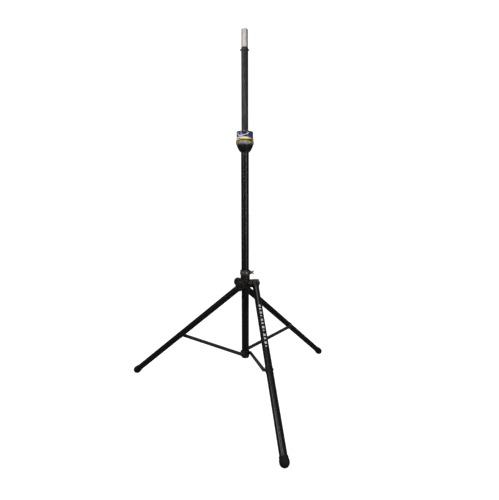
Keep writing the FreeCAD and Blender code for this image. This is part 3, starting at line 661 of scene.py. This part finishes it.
def make_turn_arrow(top, radius):
    """A plain curved arrow on the cap's side: which way to turn it."""
    # a Bezier curve in degrees round the cap and millimetres from its top
    curve = ((-54, -10), (-56, -32), (-14, -33), (32, -8))
    start, first, second, end = (Vector(corner) for corner in curve)
    width, head_width, head_share, stations = 5.0, 8.5, 0.87, 36
    buried, proud = -0.25, 0.1   # of the plate's two faces, from the cap's skin

    def along(share):
        rest = 1 - share
        return (start * rest ** 3 + first * 3 * rest ** 2 * share + second * 3 * rest * share ** 2
                + end * share ** 3)

    left, right = [], []
    for index in range(stations + 1):
        share = index / stations
        way = along(min(1, share + 0.01)) - along(max(0, share - 0.01))
        across = Vector((math.radians(way.x) * radius, way.y)).normalized()
        half = width * (1 - 0.5 * share) / 2
        if share > head_share:
            half = head_width / 2 * (1 - share) / (1 - head_share)
        centre = along(share)
        shift_turn = math.degrees(-across.y * half / radius)
        left.append((centre.x + shift_turn, centre.y + across.x * half))
        right.append((centre.x - shift_turn, centre.y - across.x * half))
    mesh = bmesh.new()
    shells = []
    for depth in (buried, proud):
        shells.append([[mesh.verts.new(around(radius + depth, turn, up)) for turn, up in line]
                       for line in (left, right)])
    close_plate(mesh, shells)
    bmesh.ops.remove_doubles(mesh, verts=mesh.verts, dist=1e-6)
    bmesh.ops.recalc_face_normals(mesh, faces=mesh.faces)
    place = POLE @ shift(z=top) @ spin(VIEW_SIDE)
    piece((mesh, "cap_turn_arrow"), "collar", "nylon", place, material="lavender_print")


def around(radius, degrees, height):
    """A point on a cylinder about Z, in metres."""
    angle = math.radians(degrees)
    return radius * MM * math.cos(angle), radius * MM * math.sin(angle), height * MM


def close_plate(mesh, shells):
    """Faces for a thin plate, from an inner and an outer shell that each have two long edges."""
    last = len(shells[0][0]) - 1
    for index in range(last):
        for line in (0, 1):
            mesh.faces.new([shells[0][line][index], shells[0][line][index + 1],
                            shells[1][line][index + 1], shells[1][line][index]])
        for shell in shells:
            mesh.faces.new((shell[0][index], shell[0][index + 1],
                            shell[1][index + 1], shell[1][index]))
    for index in (0, last):
        mesh.faces.new((shells[0][0][index], shells[0][1][index],
                        shells[1][1][index], shells[1][0][index]))


def wrapped(inner, outer, half, edges):
    """A thin plate wrapped on a cylinder about Z, centred on X and reaching half along the curve to
    each side. edges(share) gives its lower and upper edge, where share runs from -1 to 1."""
    mesh = bmesh.new()
    columns, shells = 12, []
    for radius in (inner, outer):
        lines = ([], [])
        for index in range(columns + 1):
            share = 2 * index / columns - 1
            for line, up in zip(lines, edges(share)):
                line.append(mesh.verts.new(around(radius, math.degrees(share * half / outer), up)))
        shells.append(lines)
    close_plate(mesh, shells)
    bmesh.ops.recalc_face_normals(mesh, faces=mesh.faces)
    return mesh


# -------------------------------------------- pole

def make_pole():
    bottom, top = span("pole_tube")
    turned("pole_tube_skin", "pole", "black_tube", filleted([
        (17.25, bottom, 0.4), (LEG_RADIUS, bottom, 0.6), (LEG_RADIUS, top, 0.8),
        (17.25, top, 0.4)]), ["pole_tube"], material="pole_paint")
    neck, peak = span("pole_spigot")
    turned("pole_spigot_turned", "pole", "bare_aluminium", filleted([
        (14.75, neck, 0.5), (17.2, neck, 0.5), (17.2, top - 1), (16.9, top), (17.2, top + 0.6, 0.3),
        (17.5, top + 1.6, 0.5), (17.5, peak - 4.6, 4), (13, peak, 2.5), (9.5, peak, 0.8),
        (8.6, peak - 1, 0.6), (0, peak - 1), (0, peak - 4), (14.75, peak - 4)], 5),
        ["pole_spigot"], FINE)
    low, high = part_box("cross_pin")
    place = Matrix.Translation((low + high) / 2) @ spin(PIN_DIRECTION - 90)
    turned("cross_pin_turned", "pole", "dark_steel", filleted([
        (0, -25.4), (2.4, -25.4, 0.8), (4, -23.6, 1.2), (4, 23.6, 1.2), (2.4, 25.4, 0.8),
        (0, 25.4)]), ["cross_pin"], COARSE, place=place @ TO_SPOKE)


# -------------------------------------------- sliding hub

def make_leg_hub():
    """The moulded hub: a collar on the main tube with three round arms and ribs between them."""
    low, high = span("leg_hub")
    pivot = joint_height("leg_1_fold")
    ring_low = span("clamp_ring")[0]
    collar = lathe(filleted([
        (0, low), (27.7, low, 1), (27.7, ring_low, 0.4), (27.6, high, 0.8), (0, high)]), FINE)
    arms = on_each_spoke(pivot, filleted([
        (0, 0), (26.0, 0), (25.5, 27), (24.6, 28.5, 1), (24.6, 33, 1), (25.5, 34.5, 1),
        (25.5, 39.5, 1.5), (0, 39.5)]), MEDIUM)
    ribs = []
    for number in LEGS:
        rib = slab(filleted([
            (20, low + 2, 1), (29.4, low + 4, 2), (29.4, pivot + 8, 3), (20, pivot + 36, 1)], 3),
            3.4, spin(90, "X"))
        ribs.append(moved(rib, spoke_basis(number) @ spin(30)))
    bore = rod(24.02, low - CLEAR, high + CLEAR, FINE)
    holes = [moved(rod(5.05, 28.5, 50), on_spoke(number, pivot)) for number in LEGS]
    clamp = joint_height("wing_bolt_turn")
    pad_hole = moved(rod(7, 15, 40), on_spoke(1, clamp))
    hub = moulded("leg_hub_moulding", [collar] + arms + ribs, [bore, pad_hole] + holes,
                  grain=0.9, smoothing=4)
    piece(hub, "hub", "black_plastic", POLE, ["leg_hub"])
    foot = span("hub_liner")[0]
    turned("hub_liner_sleeve", "hub", "black_plastic", filleted([
        (22.31, foot, 0.4), (27.6, foot, 1.2), (27.6, low, 0.3), (24.0, low), (24.0, ring_low - 2),
        (22.31, ring_low - 2)]), ["hub_liner"], FINE)


def make_clamp():
    """The metal ring round the hub's neck with its boss, and the wing bolt through it."""
    low, high = span("clamp_ring")
    clamp = joint_height("wing_bolt_turn")
    ring = lathe(filleted([
        (26, low), (28.2, low, 0.4), (28.6, low + 3, 1), (30.2, low + 7, 3), (31.4, low + 12, 4),
        (30.6, low + 18.5, 4), (28.9, low + 24, 3), (29.3, high - 1.5, 1), (28.6, high, 0.6),
        (26, high)]), FINE)
    boss_frame = on_spoke(1, clamp)
    boss = moved(lathe(filleted([
        (0, 25), (12.5, 25), (11, 32, 3), (10, 37, 1.5), (0, 37)]), COARSE), boss_frame)
    bore = rod(27.75, low - CLEAR, high + CLEAR, FINE)
    hole = moved(rod(4.1, 15, 50), boss_frame)
    body = moulded("clamp_ring_cast", [ring, boss], [bore, hole], grain=0.6, smoothing=3)
    piece(body, "hub", "clamp_metal", POLE, ["clamp_ring"])
    make_wing_bolt(POLE @ spoke_basis(1) @ shift(z=clamp))


def ball(centre, radii):
    """An egg-shaped blank for a cast form."""
    mesh = bmesh.new()
    bmesh.ops.create_uvsphere(mesh, u_segments=24, v_segments=12, radius=1)
    scale = Matrix.Diagonal(Vector(radii + (1,)) * MM)
    scale[3][3] = 1
    return moved(mesh, shift(*centre) @ scale)


def make_wing_bolt(place):
    """The cast wing bolt: a plain shank, a round hub and two wings that spread apart."""
    blanks = [moved(lathe(filleted([
        (0, 34), (4, 34), (4, 37.9), (6.6, 37.9, 0.6), (6.4, 41, 1), (5.4, 45.5, 1.5), (0, 46)]),
        COARSE), TO_SPOKE)]
    stations = 9
    for side in (-1, 1):
        for index in range(stations):
            share = index / (stations - 1)
            along = 40.5 + 9.2 * share ** 0.9
            up = side * (3.2 + 4.65 * share ** 1.1)
            blanks.append(ball((0, along, up), (2.9 + 0.4 * share, 3.5, 3.4 + 0.3 * share)))
    bolt = moulded("wing_bolt_cast", blanks, grain=0.45, smoothing=4)
    shank = moved(lathe(filleted([
        (0, 25.7), (3, 25.7), (3.9, 26.8), (3.9, 36), (0, 36)]), COARSE), TO_SPOKE)
    piece(bolt, "wing_bolt", "clamp_metal", place, ["wing_bolt"])
    piece((shank, "wing_bolt_shank"), "wing_bolt", "zinc_steel", place)


def hexagonal(width, start):
    """A shape for lathe() that flattens everything beyond start into a hexagon of that width."""
    def shape(angle, radius, height):
        if height < start:
            return radius, height
        turn = (angle + math.pi / 6) % (math.pi / 3) - math.pi / 6
        return min(radius, width / 2 / math.cos(turn)), height
    return shape


def make_pivot_hardware():
    """For each leg: a hex bolt with chamfered head, a spacer and a washer."""
    pivot = joint_height("leg_1_fold")
    head, across_flats = 84.9, 17      # where a bolt's head starts, and its width
    bolts = on_each_spoke(pivot, [
        (0, 28.6), (4.2, 28.6), (5, 29.4), (5, head), (8.1, head), (8.1, head + 0.3),
        (9.82, head + 0.35), (9.82, head + 3.3), (8.6, head + 4.2), (7.6, head + 4.45),
        (0, head + 4.5)], COARSE + 8, hexagonal(across_flats, head + 0.32))
    spacers = on_each_spoke(pivot, filleted([
        (5.05, 39.55, 0.2), (15, 39.55, 0.4), (15, 40.95, 0.4), (5.05, 40.95, 0.2)]), MEDIUM)
    washers = on_each_spoke(pivot, filleted([
        (5.05, 83.3, 0.2), (12, 83.3, 0.3), (12, 84.85, 0.6), (5.05, 84.85, 0.2)]), MEDIUM)
    piece((gathered(bolts), "pivot_bolts_hex"), "hub", "dark_steel", POLE, ["pivot_bolts"])
    piece((gathered(spacers), "pivot_spacers_turned"), "hub", "nylon", POLE, ["pivot_spacers"],
          "black_plastic")
    piece((gathered(washers), "pivot_washers_turned"), "hub", "zinc_steel", POLE,
          ["pivot_washers"], "dark_steel")


# -------------------------------------------- legs

def knuckle_mesh():
    """The moulded hinge block: a barrel on the pivot, flared into the neck for the tube."""
    barrel = moved(lathe(filleted([
        (0, -19.5), (25.5, -19.5, 1.2), (25.5, 22.2, 8), (15, 22.2, 0.8), (14, 21.4, 0.8),
        (0, 21.4)], 6), FINE), TO_SPOKE)
    flare = moved(lathe([
        (0, 0), (25.2, 0), (24.9, 10), (24.0, 16), (22.6, 22), (21.2, 28), (20.4, 33), (20.0, 34.5),
        (0, 34.5)], FINE), Matrix.Diagonal((1, 0.79, 1, 1)))
    neck = lathe(filleted([(0, 0), (20.1, 0), (20.1, 33.9, 1), (0, 33.9)]), FINE)
    ribs = [slab(filleted([(-3, 8, 1), (3, 8, 1), (2, 30, 1), (-2, 30, 1)]), 3,
                 Matrix.Translation((side * 22.4 * MM, 0, 0)) @ spin(90, "X"))
            for side in (-1, 1)]
    hole = moved(rod(5.1, -40, 40), TO_SPOKE)
    solids = [barrel, flare, neck] + ribs
    return mesh_of(moulded("knuckle_blank", solids, [hole], grain=0.8, smoothing=4))


def boot_centre():
    """From a leg's pivot to the centre of its boot's round end."""
    height = joint_height("leg_1_fold") - BOOT_RADIUS + BOOT_SINK
    return height / math.cos(math.radians(LEG_SPREAD))


def tube_end():
    """From a leg's pivot to the lower end of its tube, inside the boot."""
    return boot_centre() - TUBE_GAP


def boot_outline(centre, seat):
    """The rubber foot: a short lipped cap that widens into a round end with fine rings. The leg's
    tube ends inside it at the height called seat."""
    top = centre - BOOT_LENGTH
    corners = [(19.1, top, 0.4), (21.8, top, 0.9), (21.8, top + 6, 0.8), (21.3, top + 7.5, 0.6),
               (21.8, top + 9, 0.8), (23.8, centre - 10, 3)]
    outline = filleted(corners + [(BOOT_RADIUS, centre), (0, centre), (0, top)], 3)[:-3]
    for step in range(0, 31):
        angle = math.radians(3 * step)
        radius = BOOT_RADIUS - (0.5 if step % 5 == 2 and 5 < step < 25 else 0)
        outline.append(Vector((radius * math.cos(angle), centre + radius * math.sin(angle))))
    outline[-1].x = 0
    return outline + [Vector((0, seat)), Vector((19.1, seat))]


def make_boot(number, place):
    mesh = lathe(boot_outline(boot_centre(), tube_end()), FINE)
    floor_point = place.inverted() @ Vector((0, 0, 0))
    floor_normal = place.inverted().to_3x3() @ UP
    geometry = list(mesh.verts) + list(mesh.edges) + list(mesh.faces)
    cut = bmesh.ops.bisect_plane(mesh, geom=geometry, plane_co=floor_point, plane_no=floor_normal,
                                 clear_inner=True)
    edges = [item for item in cut["geom_cut"] if isinstance(item, bmesh.types.BMEdge)]
    bmesh.ops.contextual_create(mesh, geom=edges)
    bmesh.ops.recalc_face_normals(mesh, faces=mesh.faces)
    piece((mesh, "rubber_boot_%d" % number), "leg_%d" % number, "rubber", place,
          ["rubber_foot_%d" % number])


def saddle_mesh():
    """The formed saddle under a brace: a curved plate with rounded corners."""
    mesh = bmesh.new()
    columns, rows, half_turn, half_length = 24, 14, 64, 16.9
    shells = []
    for radius in (19.15, 21.45):
        grid = []
        for i in range(columns + 1):
            line = []
            for j in range(rows + 1):
                u, v = 2 * i / columns - 1, 2 * j / rows - 1
                corner = 1 - 0.10 * (u * v) ** 4
                turn, up = -90 + half_turn * u * corner, BRACE_STATION + half_length * v * corner
                line.append(mesh.verts.new(around(radius, turn, up)))
            grid.append(line)
        shells.append(grid)
    for grid in shells:
        for i in range(columns):
            for j in range(rows):
                mesh.faces.new((grid[i][j], grid[i + 1][j], grid[i + 1][j + 1], grid[i][j + 1]))
    border = [(i, 0) for i in range(columns)] + [(columns, j) for j in range(rows)]
    border += [(columns - i, rows) for i in range(columns)] + [(0, rows - j) for j in range(rows)]
    for here, after in zip(border, border[1:] + border[:1]):
        inner, outer = shells
        mesh.faces.new((inner[here[0]][here[1]], inner[after[0]][after[1]],
                        outer[after[0]][after[1]], outer[here[0]][here[1]]))
    bmesh.ops.recalc_face_normals(mesh, faces=mesh.faces)
    return mesh


def make_leg(number, knuckle):
    """One leg in its own frame: knuckle, tube with rivets, boot, saddle and bolt."""
    body, place = "leg_%d" % number, leg_frame(number)
    moulding = linked("leg_knuckle_moulding_%d" % number, knuckle.copy())
    piece(moulding, body, "black_plastic", place, ["leg_knuckle_%d" % number])
    end = tube_end()
    turned("leg_tube_skin_%d" % number, body, "black_tube", filleted([
        (17.45, 34, 0.4), (LEG_RADIUS, 34, 0.7), (LEG_RADIUS, end, 0.5), (17.45, end, 0.4)]),
        ["leg_tube_%d" % number], place=place)
    make_boot(number, place)
    saddle = as_object(saddle_mesh(), "leg_saddle_%d" % number)
    bevel(saddle, 0.5)
    piece(saddle, body, "dark_steel", place, ["leg_bracket_%d" % number])
    station = place @ shift(z=BRACE_STATION) @ TO_SPOKE
    turned("leg_saddle_boss_%d" % number, body, "dark_steel", filleted([
        (4.05, -22.4, 0.3), (8.6, -22.4, 0.8), (9.5, -20.9, 0.8), (9.5, -17.6), (4.05, -17.6)]), [],
        COARSE, place=station)
    turned("leg_bolt_turned_%d" % number, body, "dark_steel", filleted([
        (0, -22.5), (3.2, -22.5), (4, -21.7), (4, 19.3), (7, 19.3, 0.4), (6.9, 20.4, 0.8),
        (4.4, 22.0, 1.6), (2.2, 22.1, 0.3), (1.8, 21.0, 0.2), (0, 21.0)]),
        ["leg_bolt_%d" % number], COARSE, place=station)
    for index, turn in enumerate((-150, 150)):
        rivet_place = place @ shift(z=52) @ spin(turn)
        rivet_place = rivet_place @ shift(x=18.6) @ spin(90, "Y")
        turned("leg_rivet_%d_%d" % (number, index + 1), body, "dark_steel", filleted([
            (0, 0), (3.4, 0), (3.4, 0.8, 0.4), (1.6, 1.7, 0.8), (0, 1.75)]), [], 24,
            place=rivet_place)


def make_leg_marks():
    """A row of plain pale bars along the upper side of the front leg."""
    place = leg_frame(1) @ spin(MARKS_SIDE)
    bars = []
    start, pitch, count = 172, 24, 12
    for index in range(count):
        length = (13, 9, 13, 6)[index % 4]
        half = 6 if index % 4 != 3 else 4
        near, far = start + pitch * index, start + pitch * index + length
        bars.append(wrapped(18.9, 19.25, half, lambda share, low=near, high=far: (low, high)))
    piece((gathered(bars), "leg_mark_bars"), "leg_1", "nylon", place, material="white_print")


# -------------------------------------------- braces

def channel_outline():
    """The section of a brace: a channel open below, with a groove rolled along each side.
    Across is the way out from the mast (0 to 10), up is the brace frame's X (upper edge at -10)."""
    side = [(0, 10), (0, 3), (0.6, 2), (0.6, -2), (0, -3)]
    far = [(10 - across, up) for across, up in reversed(side)]
    outer = side + [(0, -10, 2.2), (10, -10, 2.2)] + far
    inner = [(8.2, 10), (8.2, 3.4), (7.6, 2.4), (7.6, -2.4), (8.2, -3.4), (8.2, -8.2, 0.8),
             (1.8, -8.2, 0.8), (1.8, -3.4), (2.4, -2.4), (2.4, 2.4), (1.8, 3.4), (1.8, 10)]
    return filleted(outer + inner)


def brace_mesh():
    length = BRACE_LENGTH + 40
    # slab() draws in X and Y and is thick along Z: here across goes to Y and up to X
    to_brace = Matrix(((0, 1, 0, 0), (1, 0, 0, 0), (0, 0, 1, BRACE_LENGTH / 2 * MM), (0, 0, 0, 1)))
    item = as_object(slab(channel_outline(), length, to_brace), "brace_blank")
    ends = []
    for centre, first in ((0, 180), (BRACE_LENGTH, 0)):
        angles = [math.radians(first + 10 * step) for step in range(19)]
        ends += [(10 * math.cos(angle), centre + 10 * math.sin(angle)) for angle in angles]
    trim = slab(ends, 40, Matrix(((1, 0, 0, 0), (0, 0, 1, 0), (0, 1, 0, 0), (0, 0, 0, 1))))
    cut_away(item, [trim], "INTERSECT")
    holes = [moved(rod(radius, -20, 30), shift(z=up) @ TO_SPOKE)
             for up, radius in ((0, 4.3), (BRACE_LENGTH, 4.02))]
    cut_away(item, holes)
    bevel(item, 0.35, 40)
    return mesh_of(item)


def make_brace(number, channel):
    body, place = "brace_%d" % number, brace_frame(number)
    piece(linked("brace_channel_%d" % number, channel.copy()), body, "black_tube", place,
          ["brace_%d" % number], "brace_paint")
    turned("brace_rivet_turned_%d" % number, body, "dark_steel", filleted([
        (0, -2.8), (4.4, -2.75, 1.4), (6.9, -1.2, 0.8), (7, 0, 0.3), (4, 0), (4, 10),
        (4.8, 10.05, 0.2), (4.4, 10.6, 0.3), (0, 10.6)]), ["brace_rivet_%d" % number], COARSE,
        place=place @ shift(z=BRACE_LENGTH) @ TO_SPOKE)


def for_cad_node(material):
    """A copy of a material for a CAD node, whose mesh is left alone and so keeps no LOCAL_PLACE."""
    copy = material.copy()
    tree = copy.node_tree
    place = node(tree, "ShaderNodeTexCoord")
    for source in [item for item in tree.nodes if item.type == "ATTRIBUTE"]:
        for link in list(source.outputs["Vector"].links):
            tree.links.new(place.outputs["Object"], link.to_socket)
        tree.nodes.remove(source)
    return copy


def dress_inner_nodes():
    """The CAD nodes that stay as they are, hidden inside the others, get proper materials."""
    finishes = {
        "upper_bushing": "nylon", "collet": "nylon", "wiper_ring": "rubber",
        "pole_piston": "black_plastic", "piston_seal": "rubber", "piston_screw": "zinc_steel",
        "clamp_pad": "nylon"}
    for name, finish in finishes.items():
        item = frame["nodes"][name]
        for material_slot in item.material_slots:
            material_slot.material = for_cad_node(MATERIALS[finish])


# -------------------------------------------- studio

def make_floor():
    """A wide, pale, plain floor, evenly bright as on a light table."""
    mesh = bmesh.new()
    bmesh.ops.create_grid(mesh, x_segments=8, y_segments=8, size=40)
    floor = as_object(mesh, "studio_floor")
    remember_place(floor.data)
    made, tree = new_material("studio_floor", 0.9, specular=0.1)
    shader = shader_of(made)
    speckle = mapped(tree, noise(tree, 3, 4), 0.3, 0.7, 0, 1)
    grey = blended(tree, speckle, (0.50, 0.50, 0.50), (0.52, 0.52, 0.52))
    tree.links.new(grey, shader.inputs["Base Color"])
    shader.inputs["Emission Color"].default_value = (1, 1, 1, 1)
    shader.inputs["Emission Strength"].default_value = 0.94
    floor.data.materials.append(made)
    floor.visible_glossy = False
    floor.visible_diffuse = False


def make_world():
    """White to the camera, and to everything else the dim even grey of a flagged studio."""
    world = bpy.data.worlds.new("studio")
    world.use_nodes = True
    tree = world.node_tree
    tree.nodes.clear()
    seen = node(tree, "ShaderNodeLightPath").outputs["Is Camera Ray"]
    dim = node(tree, "ShaderNodeBackground", Color=(0.95, 0.97, 1.0, 1), Strength=0.12)
    white = node(tree, "ShaderNodeBackground", Color=(1, 1, 1, 1), Strength=1.15)
    both = node(tree, "ShaderNodeMixShader")
    tree.links.new(seen, both.inputs[0])
    tree.links.new(dim.outputs[0], both.inputs[1])
    tree.links.new(white.outputs[0], both.inputs[2])
    out = node(tree, "ShaderNodeOutputWorld")
    tree.links.new(both.outputs[0], out.inputs[0])
    bpy.context.scene.world = world


def aim(item, target):
    way = Vector(target) - item.location
    item.rotation_euler = way.to_track_quat("-Z", "Y").to_euler()


def softbox(name, place, target, width, height, power):
    light = bpy.data.lights.new(name, "AREA")
    light.shape = "RECTANGLE"
    light.size, light.size_y = width, height
    light.energy = power
    item = linked(name, light)
    item.location = place
    aim(item, target)
    return item


def make_lights():
    softbox("key_left", (-2.9, -0.9, 2.75), (0, 0.19, 1.75), 0.8, 1.3, 30)
    softbox("front_high", (-0.6, -2.6, 3.7), (0, 0.19, 0.9), 1.0, 0.8, 28)
    softbox("left_strip", (-2.9, -1.4, 1.3), (0, 0.19, 1.2), 0.14, 1.6, 6)
    softbox("right_strip", (1.35, -3.0, 1.6), (0, 0.19, 1.2), 0.16, 2.6, 34)
    snoot = softbox("collar_snoot", (-0.9, -1.7, 2.5), (0, 0.19, 1.485), 0.7, 0.45, 0.42)
    snoot.data.spread = math.radians(9)
    softbox("top", (-0.3, 0.0, 4.0), (0, 0.2, 0), 1.6, 1.6, 26)
    softbox("back_fill", (0.8, 2.6, 2.7), (0, 0.19, 0.4), 1.2, 1.2, 14)


def make_camera():
    """A viewpoint a little above the hub, slightly left of the front leg, tipped down."""
    image_height, focal_pixels = 500, 379.68
    camera = bpy.data.cameras.new("camera")
    camera.sensor_fit = "VERTICAL"
    camera.sensor_height = 24
    camera.lens = focal_pixels / image_height * camera.sensor_height
    camera.shift_x = -11.87 / image_height
    camera.shift_y = 26.91 / image_height
    camera.clip_end = 200
    item = linked("camera", camera)
    item.location = (-0.4948, -1.9868, 1.1392)
    heading, pitch, roll = math.radians(15.271), math.radians(10.913), math.radians(0.347)
    item.rotation_mode = "QUATERNION"
    turn = Matrix.Rotation(-heading, 3, "Z") @ Matrix.Rotation(math.pi / 2 - pitch, 3, "X")
    item.rotation_quaternion = (turn @ Matrix.Rotation(roll, 3, "Z")).to_quaternion()
    bpy.context.scene.camera = item


make_main_tube()
make_lower_hub()
make_bell()
make_grip_ring()
make_accent_band()
make_twist_cap()
make_pole()
make_leg_hub()
make_clamp()
make_pivot_hardware()
knuckle_data = knuckle_mesh()
channel_data = brace_mesh()
for leg_number in LEGS:
    make_leg(leg_number, knuckle_data)
    make_brace(leg_number, channel_data)
make_leg_marks()
dress_inner_nodes()
make_floor()
make_world()
make_lights()
make_camera()
bpy.context.scene.view_settings.view_transform = "Standard"
